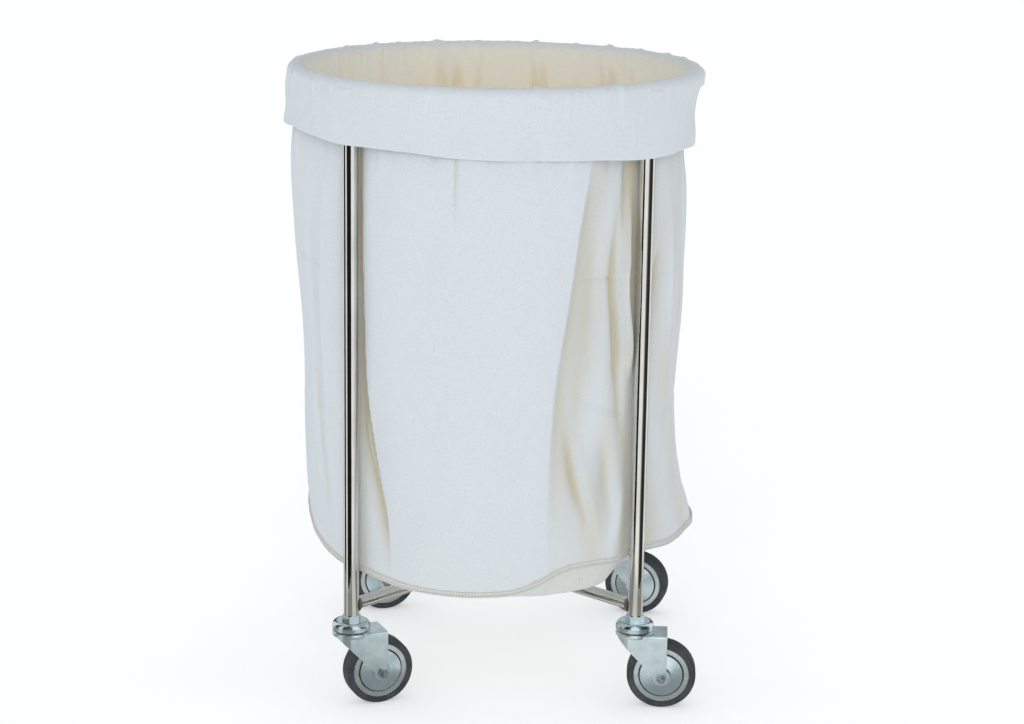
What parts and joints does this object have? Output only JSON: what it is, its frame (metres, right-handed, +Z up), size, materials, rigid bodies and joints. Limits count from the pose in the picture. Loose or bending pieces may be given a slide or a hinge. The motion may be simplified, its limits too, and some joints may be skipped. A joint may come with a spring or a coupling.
{
  "type": "linen trolley",
  "caption": "Round linen trolley: a canvas bag with a deep turned-down cuff hangs from a tubular ring frame on swivel casters.",
  "frame": {"origin": "on the floor under the centre of the top ring", "axes": "+Z up; -Y the front, which the picture sees; +X to the right seen from the front"},
  "size_m": [0.6072, 0.6072, 0.9106],
  "materials": {
    "stainless": "polished stainless tube",
    "weld": "weld bead, heat tinted",
    "zinc": "bright zinc plate with a blue cast",
    "bright_steel": "turned steel",
    "rubber": "satin dark grey rubber",
    "canvas": "natural cotton canvas"
  },
  "bodies": {
    "frame": {"top_ring": "stainless", "ring_welds": "weld", "brace_whole": "stainless", "brace_half_front_right": "stainless", "brace_half_rear_left": "stainless", "brace_welds": "weld", "stem_sockets": "bright_steel", "upright_front_left": "stainless", "stem_front_left": "zinc", "bearing_cup_front_left": "zinc", "upright_front_right": "stainless", "stem_front_right": "zinc", "bearing_cup_front_right": "zinc", "upright_rear_left": "stainless", "stem_rear_left": "zinc", "bearing_cup_rear_left": "zinc", "upright_rear_right": "stainless", "stem_rear_right": "zinc", "bearing_cup_rear_right": "zinc"},
    "caster_front_left": {"fork_front_left": "zinc", "swivel_balls_front_left": "bright_steel", "axle_bolt_front_left": "bright_steel", "axle_nut_front_left": "bright_steel", "axle_sleeve_front_left": "bright_steel", "thread_guards_front_left": "zinc"},
    "wheel_front_left": {"wheel_rim_front_left": "zinc", "tyre_front_left": "rubber"},
    "caster_front_right": {"fork_front_right": "zinc", "swivel_balls_front_right": "bright_steel", "axle_bolt_front_right": "bright_steel", "axle_nut_front_right": "bright_steel", "axle_sleeve_front_right": "bright_steel", "thread_guards_front_right": "zinc"},
    "wheel_front_right": {"wheel_rim_front_right": "zinc", "tyre_front_right": "rubber"},
    "caster_rear_left": {"fork_rear_left": "zinc", "swivel_balls_rear_left": "bright_steel", "axle_bolt_rear_left": "bright_steel", "axle_nut_rear_left": "bright_steel", "axle_sleeve_rear_left": "bright_steel", "thread_guards_rear_left": "zinc"},
    "wheel_rear_left": {"wheel_rim_rear_left": "zinc", "tyre_rear_left": "rubber"},
    "caster_rear_right": {"fork_rear_right": "zinc", "swivel_balls_rear_right": "bright_steel", "axle_bolt_rear_right": "bright_steel", "axle_nut_rear_right": "bright_steel", "axle_sleeve_rear_right": "bright_steel", "thread_guards_rear_right": "zinc"},
    "wheel_rear_right": {"wheel_rim_rear_right": "zinc", "tyre_rear_right": "rubber"},
    "bag": {"bag_wall": "canvas", "bag_base": "canvas", "bag_hem": "canvas", "bag_cuff": "canvas"}
  },
  "joints": [
    {"name": "swivel_front_left", "type": "hinge", "parent": "frame", "child": "caster_front_left", "pos_m": [-0.20506, -0.20506, 0.115], "axis": [0, 0, 1], "continuous": true},
    {"name": "spin_front_left", "type": "hinge", "parent": "caster_front_left", "child": "wheel_front_left", "pos_m": [-0.16748, -0.19079, 0.05], "axis": [-0.3551, 0.9348, 0], "continuous": true},
    {"name": "swivel_front_right", "type": "hinge", "parent": "frame", "child": "caster_front_right", "pos_m": [0.20506, -0.20506, 0.115], "axis": [0, 0, 1], "continuous": true},
    {"name": "spin_front_right", "type": "hinge", "parent": "caster_front_right", "child": "wheel_front_right", "pos_m": [0.24507, -0.20898, 0.05], "axis": [0.0976, 0.9952, 0], "continuous": true},
    {"name": "swivel_rear_left", "type": "hinge", "parent": "frame", "child": "caster_rear_left", "pos_m": [-0.20506, 0.20506, 0.115], "axis": [0, 0, 1], "continuous": true},
    {"name": "spin_rear_left", "type": "hinge", "parent": "caster_rear_left", "child": "wheel_rear_left", "pos_m": [-0.16578, 0.21363, 0.05], "axis": [-0.213, 0.977, 0], "continuous": true},
    {"name": "swivel_rear_right", "type": "hinge", "parent": "frame", "child": "caster_rear_right", "pos_m": [0.20506, 0.20506, 0.115], "axis": [0, 0, 1], "continuous": true},
    {"name": "spin_rear_right", "type": "hinge", "parent": "caster_rear_right", "child": "wheel_rear_right", "pos_m": [0.24359, 0.19358, 0.05], "axis": [0.2857, 0.9583, 0], "continuous": true},
    {"name": "bag_lift", "type": "slide", "parent": "frame", "child": "bag", "axis": [0, 0, 1], "range_m": [0, 0.75]}
  ]
}
